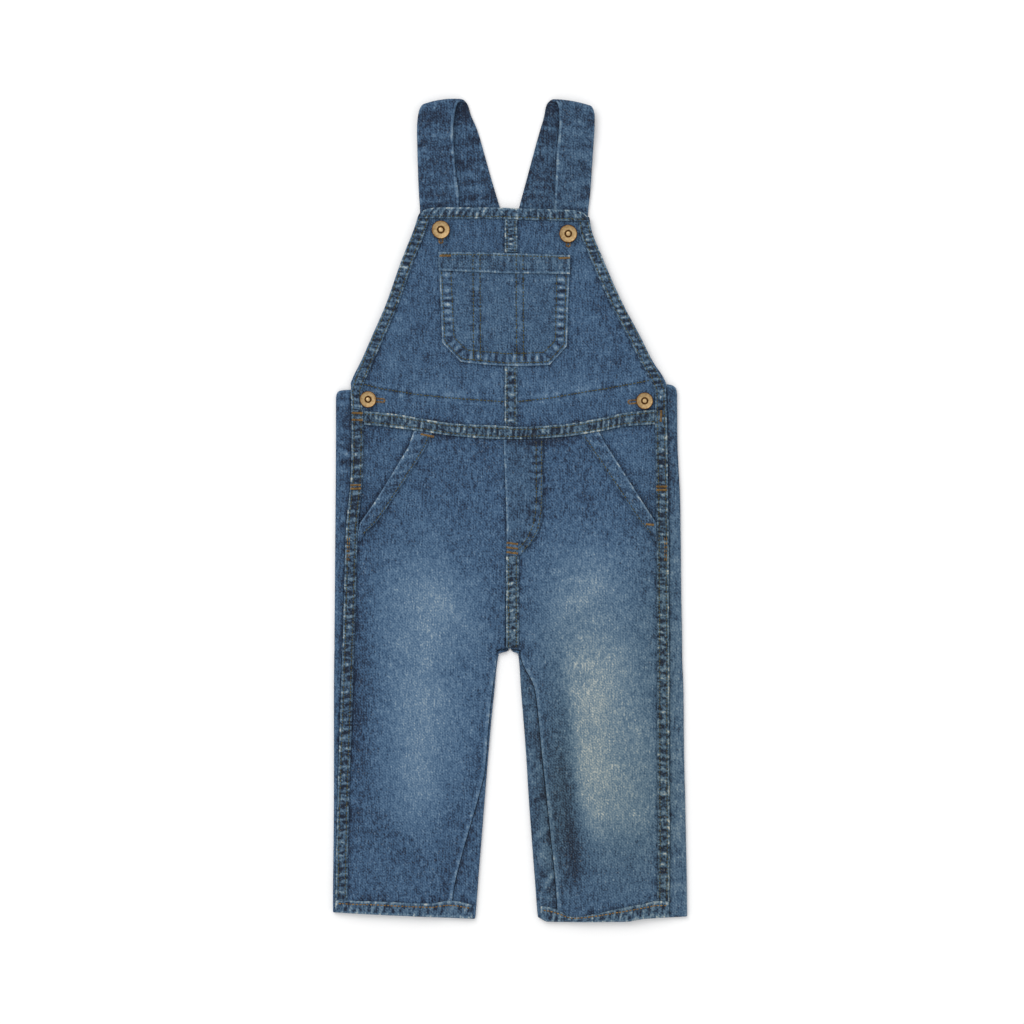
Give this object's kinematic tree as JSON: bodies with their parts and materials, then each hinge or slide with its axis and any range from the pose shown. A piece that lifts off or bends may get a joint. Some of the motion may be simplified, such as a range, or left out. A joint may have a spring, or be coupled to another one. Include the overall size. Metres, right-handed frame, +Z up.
{
  "type": "denim overalls",
  "caption": "Child's blue denim overalls laid flat, with a bib pocket, folded shoulder straps, slanted hip pockets, a mock fly and flat metal buttons.",
  "frame": {"origin": "bottom centre of the garment's box, on the surface that it lies on", "axes": "+Y from the hems to the straps, +Z up out of the surface, front side up"},
  "size_m": [0.2655, 0.6164, 0.0076],
  "materials": {
    "denim": "washed indigo denim twill, faded on the thighs and knees",
    "seam_denim": "washed denim seams, puckered, pale on their ridges",
    "brass": "antique brass, brushed, darkened in its recess"
  },
  "bodies": {
    "root": {"back_bib": "denim", "bib_left": "denim", "bib_pocket": "denim", "bib_pocket_hem": "seam_denim", "bib_right": "denim", "bib_seam_lower": "seam_denim", "bib_seam_upper": "seam_denim", "bib_side_hem_left": "seam_denim", "bib_side_hem_right": "seam_denim", "bib_top_hem": "seam_denim", "button_bib_left": "brass", "button_bib_right": "brass", "button_waist_left": "brass", "button_waist_right": "brass", "crotch_seam": "seam_denim", "fly_flap": "denim", "leg_back_left": "denim", "leg_back_right": "denim", "leg_front_left": "denim", "leg_front_right": "denim", "leg_hem_left": "seam_denim", "leg_hem_right": "seam_denim", "pocket_edge_left": "seam_denim", "pocket_edge_right": "seam_denim", "pocket_facing_left": "denim", "pocket_facing_right": "denim", "side_seam_left": "seam_denim", "side_seam_right": "seam_denim", "strap_left": "denim", "strap_right": "denim", "waist_seam": "seam_denim"}
  },
  "joints": []
}
